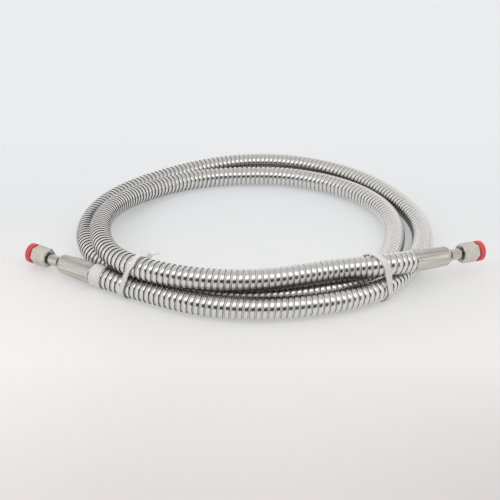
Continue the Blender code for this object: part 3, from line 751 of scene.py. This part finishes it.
def plug_mesh(place):
    """Solid flange with a shallow moulded dish in its face and a hollow tapered spigot."""
    flange, length = PLUG_FLANGE_D / 2.0, PLUG_FLANGE_LENGTH
    spigot_gap, spigot_taper, dish_slope, rounding, sides = 0.0004, 0.0003, 0.0008, 0.0008, 96
    spigot = NUT_THREAD_D / 2.0 - spigot_gap
    inside = spigot - PLUG_WALL
    dish, dish_depth = 0.62 * flange, 0.0006
    outline = [(0.0, 0.0), (inside, 0.0), (inside, -PLUG_SPIGOT_LENGTH),
               (spigot - spigot_taper, -PLUG_SPIGOT_LENGTH), (spigot, 0.0), (flange, 0.0),
               (flange, length), (dish, length), (dish - dish_slope, length - dish_depth),
               (0.0, length - dish_depth)]
    radius, along = filleted(outline, rounding, 5, closed=False).T
    poles = ((0.0, 0.0, along[0]), (0.0, 0.0, along[-1]))
    return capped_mesh(turned_points(radius[1:-1], along[1:-1], sides), poles, place)


def band_mesh(sizes, place):
    """Film wrapped round the armour: it sags a little into each groove and its end laps
    over its start, so its radius is hose + gap - sag wave, plus the film on the lap."""
    sides = 96
    start, width, wall, sag = 0.0012, 0.0125, 0.0004, 0.00016
    outer_gap, inner_gap = 0.0003, 0.00012
    lap_from, lap_to, lap_edge, lap_height = 0.62, 0.80, 0.01, 0.00008
    turn = np.arange(sides) / sides
    along = np.linspace(0.0, 1.0, 25)
    wave = 0.5 - 0.5 * np.cos(2.0 * np.pi * (along[:, None] * width / sizes.pitch
                                             + turn[None, :]))
    lap = share_of(turn - lap_from, lap_edge) * share_of(lap_to - turn, lap_edge)
    outer = sizes.diameter / 2.0 + outer_gap + wall - sag * wave + lap_height * lap[None, :]
    inner = np.full((2, sides), sizes.diameter / 2.0 + inner_gap)
    radius = np.vstack((outer, inner))
    height = np.concatenate((-start - width + along * width, (-start, -start - width)))
    return turned_mesh(radius, height, sides, place)


# ---- Cable ties --------------------------------------------------------------------------
def tie_frame(line, tie):
    """The plane of a strap: x outward from the coil, y up, z back along the hose."""
    turns = np.unwrap(np.arctan2(line[:, 1] - COIL_CENTRE[1], line[:, 0] - COIL_CENTRE[0]))
    turns += math.radians(ROUTE[0][0]) - turns[0]
    k, reach = int(np.searchsorted(turns, math.radians(tie["angle"]))), 28
    along = Vector(line[k + reach] - line[k - reach])
    along.z = 0.0
    along = Matrix.Rotation(math.radians(tie["turn"]), 3, "Z") @ along.normalized()
    up = Vector((0, 0, 1))
    outward = along.cross(up)
    place = Matrix((outward, up, outward.cross(up))).transposed().to_4x4()
    place.translation = line[k]
    return place


def run_sections(line, place):
    """Where the hose passes through the strap's plane: middles and directions of the runs."""
    matrix = np.array(place.inverted())
    local = line @ matrix[:3, :3].T + matrix[:3, 3]
    here, ahead = local[:-1], local[1:]
    crossing = here[:, 2] * ahead[:, 2] <= 0.0
    here, ahead = here[crossing], ahead[crossing]
    share = (here[:, 2] / (here[:, 2] - ahead[:, 2]))[:, None]
    cut = here + share * (ahead - here)
    run = (ahead - here) / np.linalg.norm(ahead - here, axis=1, keepdims=True)
    near = np.linalg.norm(cut, axis=1) < 3.0 * HOSE_D
    return cut[near], run[near]


def strap_path(cut, run, radius, count):
    """Furthest points of three round runs, cut by a plane, in count even directions: the
    centre plus the ellipse's reach, taken from whichever run reaches furthest."""
    turn = 2.0 * np.pi * (np.arange(count) + 0.5) / count
    direction = np.column_stack((np.cos(turn), np.sin(turn), 0.0 * turn))[:, None, :]
    long_way = run * (1.0, 1.0, 0.0)
    long_way /= np.linalg.norm(long_way, axis=1, keepdims=True)
    short_way = np.column_stack((-long_way[:, 1], long_way[:, 0], 0.0 * long_way[:, 0]))
    stretch = radius / np.abs(run[:, 2])[None, :, None]
    long_part = stretch * (direction * long_way).sum(axis=2, keepdims=True)
    short_part = radius * (direction * short_way).sum(axis=2, keepdims=True)
    size = np.hypot(long_part, short_part)
    reach = cut + (stretch * long_part * long_way + radius * short_part * short_way) / size
    best = (reach * direction).sum(axis=2).argmax(axis=1)
    rows = np.arange(count)
    return reach[rows, best], direction[:, 0], run[best] / np.abs(run[best, 2])[:, None]


# a strap's section as (share of half the width, share of the thickness), with edge rails
STRAP_SECTION = np.array((
    (-0.86, 0.00), (-0.97, 0.08), (-1.00, 0.45), (-0.98, 0.88), (-0.90, 1.00), (-0.76, 1.00),
    (-0.66, 0.86), (0.66, 0.86), (0.76, 1.00), (0.90, 1.00), (0.98, 0.88), (1.00, 0.45),
    (0.97, 0.08), (0.86, 0.00)))


def slide_share(height, cut):
    """How far the strap has slid, 0 low down and 1 on the top run: the height's square."""
    return np.clip(height / cut[:, 1].max(), 0.0, 1.3) ** 2


def strap_mesh(sizes, place, cut, run, slide):
    """The strap's section carried round the path; its width lies along the hose."""
    directions, count = 192, 180
    inner, outward, side = strap_path(cut, run, HOSE_RADIUS + sizes.slack, directions)
    inner = inner + side * (slide * HOSE_D * slide_share(inner[:, 1], cut))[:, None]
    length = lengths_along(np.vstack((inner, inner[:1])))
    where = np.linspace(0.0, length[-1], count, endpoint=False)
    inner, outward, side = (read_at(where, length, np.vstack((values, values[:1])))
                            for values in (inner, outward, side))
    outward /= np.linalg.norm(outward, axis=1, keepdims=True)
    width, thick = STRAP_SECTION[None, :, :1], STRAP_SECTION[None, :, 1:]
    points = (inner[:, None] + side[:, None] * width * sizes.width / 2.0
              + outward[:, None] * thick * sizes.wall)
    faces = grid_faces(count, len(STRAP_SECTION), wrap_rows=True)
    return mesh_from_arrays(points, faces.tolist(), place)


def head_place(sizes, place, cut, run, share, slide):
    """Foot of the head on the strap's inner slope: x down the slope, y out, z across."""
    top, low = int(cut[:, 1].argmax()), int(cut[:, 0].argmin())
    slope = Vector(cut[low] - cut[top]).normalized()
    along = Vector(run[top]).lerp(Vector(run[low]), share).normalized()
    away = along.cross(slope).normalized()
    frame_here = Matrix((slope, away, slope.cross(away))).transposed().to_4x4()
    sunk = 0.4
    out = HOSE_RADIUS + sizes.slack + sunk * sizes.wall
    foot = Vector(cut[top]).lerp(Vector(cut[low]), share) + out * away
    slid = slide * HOSE_D * float(slide_share(foot.y, cut)) / abs(along.z)
    frame_here.translation = foot + slid * along
    return place @ frame_here


def block_mesh(size, place):
    """A moulded block: along x its half sides follow (1 - |2x / length| ** 10) ** 0.1, and
    each section is a superellipse |y| ** 6 + |z| ** 6 = 1 scaled to height and width."""
    length, height, width = size
    rows, sides, along_power, section_power = 33, 64, 10, 6
    along = np.sin(np.linspace(-0.5, 0.5, rows) * np.pi)[1:-1]
    swell = (1.0 - np.abs(along) ** along_power) ** (1.0 / along_power)
    turn = 2.0 * np.pi * np.arange(sides) / sides
    power = 2.0 / section_power
    y = np.sign(np.sin(turn)) * np.abs(np.sin(turn)) ** power
    z = np.sign(np.cos(turn)) * np.abs(np.cos(turn)) ** power
    points = np.stack((along[:, None] * length / 2.0 + 0.0 * y,
                       swell[:, None] * y * height / 2.0 + height / 2.0,
                       swell[:, None] * z * width / 2.0), axis=-1)
    poles = ((-length / 2.0, height / 2.0, 0.0), (length / 2.0, height / 2.0, 0.0))
    return capped_mesh(points, poles, place)


def stub_mesh(sizes, place, lift):
    """The cut end: the strap's section along a line that leaves the head at an angle, with
    a ratchet whose thickness falls and rises as a saw tooth."""
    rows, tooth_pitch, tooth_depth, rail_from = 60, 0.0011, 0.25, 0.7
    total = sizes.stub_length + sizes.head_length / 2.0
    along = np.linspace(0.0, total, rows)
    tooth = np.mod(along / tooth_pitch, 1.0) * tooth_depth
    turn = math.radians(lift)
    base = along[:, None] * np.array((math.cos(turn), math.sin(turn), 0.0))
    normal = np.array((-math.sin(turn), math.cos(turn), 0.0))
    width, thick = STRAP_SECTION[None, :, :1], STRAP_SECTION[None, :, 1:]
    flat = np.abs(width) < rail_from
    thick = np.where(flat, thick - tooth[:, None, None] * (thick > 0.5), thick) - 0.5
    points = (base[:, None] + normal * thick * sizes.wall
              + np.array((0.0, 0.0, 1.0)) * width * sizes.width / 2.0)
    points[..., 1] += sizes.head_height / 2.0
    count = len(STRAP_SECTION)
    faces = grid_faces(rows, count).tolist()
    faces += [list(range(count))[::-1], [(rows - 1) * count + k for k in range(count)]]
    return mesh_from_arrays(points, faces, place)


def joined(parts):
    """One mesh from several."""
    objects = []
    for mesh in parts:
        face_outward(mesh)
        piece = bpy.data.objects.new("part", mesh)
        bpy.context.scene.collection.objects.link(piece)
        objects.append(piece)
    with bpy.context.temp_override(active_object=objects[0], selected_editable_objects=objects,
                                   selected_objects=objects):
        bpy.ops.object.join()
    whole = objects[0].data
    bpy.data.objects.remove(objects[0], do_unlink=True)
    return whole


# ---- Operators ---------------------------------------------------------------------------
class HOSE_OT_armour(bpy.types.Operator):
    """Wind the armour along the coil"""
    bl_idname = "hose.armour"
    bl_label = "Armour"

    def execute(self, context):
        scene = context.scene
        line, length = hose_line()
        mesh = winding_mesh(scene.hose_sizes, line, length)
        material = armour_material(scene.hose_colours)
        piece = add_piece("armour_winding", mesh, material, "hose", ("armour",),
                          smooth_angle=38.0)
        return {"FINISHED"}


class HOSE_OT_fittings(bpy.types.Operator):
    """Make the ferrules, inserts and seals"""
    bl_idname = "hose.fittings"
    bl_label = "Ferrules and inserts"

    def execute(self, context):
        colours = context.scene.hose_colours
        rubber = plastic_material("seal_rubber", (0.02, 0.02, 0.02), roughness=0.5)
        for side in ("left", "right"):
            place = end_place(side)
            axis = place.to_3x3().col[2]
            steel = fitting_material(colours, side + "_satin_steel", axis, drawn=True)
            add_piece(side + "_ferrule_crimped", ferrule_mesh(place), steel, "hose",
                      (side + "_ferrule",), smooth_angle=40.0)
            insert = turned_mesh(*insert_outline().T, 64, place)
            add_piece(side + "_insert_turned", insert, steel, "hose", (side + "_insert",))
            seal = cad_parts[side + "_o_ring"]
            seal.data.materials.clear()
            seal.data.materials.append(rubber)
        return {"FINISHED"}


class HOSE_OT_nuts(bpy.types.Operator):
    """Make the swivel nuts"""
    bl_idname = "hose.nuts"
    bl_label = "Nuts"

    def execute(self, context):
        colours = context.scene.hose_colours
        for side in ("left", "right"):
            place = end_place(side)
            steel = fitting_material(colours, side + "_nut_steel", place.to_3x3().col[2])
            mesh = nut_mesh(place @ Matrix.Translation((0, 0, NUT_REAR)))
            add_piece(side + "_nut_hexagon", mesh, steel, side + "_nut", (side + "_nut",),
                      smooth_angle=24.0)
        return {"FINISHED"}


class HOSE_OT_plugs(bpy.types.Operator):
    """Make the push-in plugs"""
    bl_idname = "hose.plugs"
    bl_label = "Plugs"

    def execute(self, context):
        red = plastic_material("red_moulding", context.scene.hose_colours.plug,
                               roughness=0.36, scatter=0.1)
        for side in ("left", "right"):
            place = end_place(side) @ Matrix.Translation((0, 0, PLUG_REAR))
            add_piece(side + "_plug_moulded", plug_mesh(place), red, side + "_plug",
                      (side + "_plug",), smooth_angle=35.0)
        return {"FINISHED"}


class HOSE_OT_band(bpy.types.Operator):
    """Wrap the label film behind the left ferrule"""
    bl_idname = "hose.band"
    bl_label = "Label band"

    def execute(self, context):
        scene = context.scene
        film = plastic_material("white_film", scene.hose_colours.band, roughness=0.42,
                                scatter=0.1)
        mesh = band_mesh(scene.hose_sizes, end_place("left"))
        add_piece("label_film", mesh, film, "hose", ("label_band",),
                  smooth_angle=50.0)
        return {"FINISHED"}


class HOSE_OT_ties(bpy.types.Operator):
    """Make the two cable ties"""
    bl_idname = "hose.ties"
    bl_label = "Cable ties"

    def execute(self, context):
        scene = context.scene
        sizes = scene.tie_sizes
        nylon = plastic_material("natural_nylon", scene.hose_colours.nylon, roughness=0.42,
                                 scatter=0.12)
        line, _length = hose_line()
        head_size = (sizes.head_length, sizes.head_height, sizes.head_width)
        for side, tie in (("left", LEFT_TIE), ("right", RIGHT_TIE)):
            place = tie_frame(line, tie)
            cut, run = run_sections(line, place)
            foot = head_place(sizes, place, cut, run, tie["head_at"], tie["slide"])
            mesh = joined([strap_mesh(sizes, place, cut, run, tie["slide"]),
                           block_mesh(head_size, foot),
                           stub_mesh(sizes, foot, tie["stub_lift"])])
            add_piece(side + "_tie_nylon", mesh, nylon, "hose", (side + "_cable_tie",),
                      smooth_angle=40.0)
        return {"FINISHED"}


class HOSE_OT_core(bpy.types.Operator):
    """Finish the braid and the liner, which lie inside the armour"""
    bl_idname = "hose.core"
    bl_label = "Braid and liner"

    def execute(self, context):
        colours = context.scene.hose_colours
        finishes = {"braid": braid_material(colours),
                    "liner": plastic_material("liner_polymer", (0.82, 0.81, 0.77),
                                              roughness=0.4, scatter=0.2)}
        for node, material in finishes.items():
            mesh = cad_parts[node].data
            mesh.materials.clear()
            mesh.materials.append(material)
        return {"FINISHED"}


def matte_stage_material(near, far):
    """Pale lit sheet with painted light: painted lighter and cooler at the back, painted brighter
    at the front left and painted darker in front on the right. What the camera and the steel see
    glows faintly on top, and the glow varies as painted light: least in front of the hose, more
    behind it, and more again far in front."""
    nodes = Nodes(bpy.data.materials.new("pale_floor"))
    position = nodes.add("SeparateXYZ", {"Vector": nodes.position()}).outputs
    x, y = position["X"], position["Y"]
    back, front = nodes.eased(y, -0.30, 0.10), nodes.eased(y, 0.10, -0.25)
    left, right = nodes.eased(x, -0.06, -0.26), nodes.eased(x, 0.0, 0.24)
    nearest = nodes.eased(y, -0.20, -0.40)
    painted_light_tint = nodes.mixed(back, near, far)
    # painted light at the front left, painted shade at the front right
    painted_light_tint = nodes.mixed(nodes.maths("MULTIPLY", left, front), painted_light_tint, shaded(near, 1.14))
    painted_light_tint = nodes.mixed(nodes.maths("MULTIPLY", right, nearest), painted_light_tint, shaded(near, 0.84))
    rays = nodes.add("LightPath").outputs
    seen = nodes.maths("MAXIMUM", rays["Is Camera Ray"],
                       nodes.maths("MAXIMUM", rays["Is Glossy Ray"],
                                   rays["Is Transmission Ray"]))
    least = (0.29, 0.275, 0.275)
    # a glow that varies along the floor, as painted light
    glow = nodes.ramp(nodes.remapped(y, 0.0, 1.0, -0.95, 1.05),
                      (0.10, (0.42, 0.43, 0.44)), (0.2225, least), (0.2725, least),
                      (0.355, (0.40, 0.405, 0.405)), (0.505, (0.34, 0.345, 0.35)),
                      (0.64, (0.385, 0.39, 0.40)), (0.94, (0.41, 0.415, 0.43)))
    return nodes.finish({
        "Roughness": 0.6,
        "Specular IOR Level": 0.2,
        "Base Color": nodes.scaled(painted_light_tint, nodes.remapped(seen, 1.0, 0.66)),
        "Emission Color": glow,
        "Emission Strength": seen})


def area_light(name, place, target, size, power):
    lamp = bpy.data.lights.new(name, "AREA")
    lamp.shape = "RECTANGLE"
    lamp.size, lamp.size_y = size
    lamp.energy = power
    holder = bpy.data.objects.new(name, lamp)
    bpy.context.scene.collection.objects.link(holder)
    direction = Vector(target) - Vector(place)
    holder.matrix_world = (Matrix.Translation(place)
                           @ direction.to_track_quat("-Z", "Y").to_matrix().to_4x4())


def studio_world():
    """A pale tent all round, duller overhead, and a dark opening low down in front."""
    nodes = Nodes(bpy.data.worlds.new("studio"))
    around = nodes.add("TexCoord").outputs["Generated"]
    direction = nodes.add("SeparateXYZ", {"Vector": around}).outputs
    x, y, z = (direction[name] for name in "XYZ")
    tent = nodes.ramp(z, (0.05, (0.96, 0.95, 0.93)), (0.95, (0.58, 0.58, 0.58)))
    tent = nodes.scaled(tent, nodes.eased(x, -0.7, 0.7, 1.08, 1.06))
    low = nodes.eased(z, 0.60, 0.46)
    middle = nodes.eased(nodes.maths("ABSOLUTE", x), 0.85, 0.55)
    ahead = nodes.eased(y, -0.15, -0.45)
    opening = nodes.maths("MULTIPLY", nodes.maths("MULTIPLY", low, middle), ahead)
    tent = nodes.mixed(opening, tent, (0.03, 0.028, 0.026))
    seen = nodes.add("LightPath").outputs["Is Camera Ray"]
    backdrop = nodes.mixed(seen, tent, (0.84, 0.85, 0.86))
    bpy.context.scene.world = nodes.finish({"Color": backdrop, "Strength": 1.0},
                                           "Background")


class HOSE_OT_stage(bpy.types.Operator):
    """Set the floor, the light and the camera"""
    bl_idname = "hose.stage"
    bl_label = "Stage"

    def execute(self, context):
        scene = context.scene
        colours = scene.hose_colours
        floor_mesh = bpy.data.meshes.new("floor")
        half, height = 6.0, -0.0002
        corners = [(-half, -half, height), (half, -half, height), (half, half, height),
                   (-half, half, height)]
        floor_mesh.from_pydata(corners, [], [(0, 1, 2, 3)])
        floor_mesh.materials.append(matte_stage_material(tuple(colours.floor_near),
                                                         tuple(colours.floor_far)))
        floor = bpy.data.objects.new("floor", floor_mesh)
        scene.collection.objects.link(floor)

        studio_world()
        area_light("front_softbox", place=(0.0, -0.70, 1.08), target=(0.0, 0.0, 0.02),
                   size=(3.0, 0.70), power=5.6)

        camera_data = bpy.data.cameras.new("camera")
        camera_data.lens = 75.0
        camera_data.sensor_width = 36.0
        camera_data.clip_start = 0.01
        camera = bpy.data.objects.new("camera", camera_data)
        scene.collection.objects.link(camera)
        aim = Vector((-0.0031, -0.0349, 0.0))
        elevation = math.radians(27.3)
        distance = 1.0605
        camera.location = aim + distance * Vector((0.0, -math.cos(elevation),
                                                   math.sin(elevation)))
        camera.rotation_euler = (math.pi / 2.0 - elevation, 0.0, 0.0)
        scene.camera = camera
        scene.view_settings.view_transform = "Standard"
        return {"FINISHED"}


class HOSE_PT_panel(bpy.types.Panel):
    """Lists the hose's pieces"""
    bl_idname = "HOSE_PT_panel"
    bl_label = "Armoured hose"
    bl_space_type = "VIEW_3D"
    bl_region_type = "UI"
    bl_category = "Hose"

    def draw(self, context):
        for operator in OPERATORS:
            self.layout.operator(operator.bl_idname)
        for group in SETTINGS:
            box = self.layout.box()
            for name in SETTINGS[group].__annotations__:
                box.prop(getattr(context.scene, group), name)


OPERATORS = (HOSE_OT_fittings, HOSE_OT_nuts, HOSE_OT_plugs, HOSE_OT_band, HOSE_OT_ties,
             HOSE_OT_armour, HOSE_OT_core, HOSE_OT_stage)
SETTINGS = {"hose_sizes": HoseSizes, "tie_sizes": TieSizes, "hose_colours": HoseColours}
CLASSES = (*SETTINGS.values(), *OPERATORS, HOSE_PT_panel)


def register():
    for item in CLASSES:
        bpy.utils.register_class(item)
    for name, group in SETTINGS.items():
        setattr(bpy.types.Scene, name, PointerProperty(type=group))


def unregister():
    for name in SETTINGS:
        delattr(bpy.types.Scene, name)
    for item in reversed(CLASSES):
        bpy.utils.unregister_class(item)


def main():
    register()
    bpy.ops.hose.fittings()
    bpy.ops.hose.nuts()
    bpy.ops.hose.plugs()
    bpy.ops.hose.band()
    bpy.ops.hose.ties()
    bpy.ops.hose.armour()
    bpy.ops.hose.core()
    bpy.ops.hose.stage()


if __name__ == "__main__":
    main()
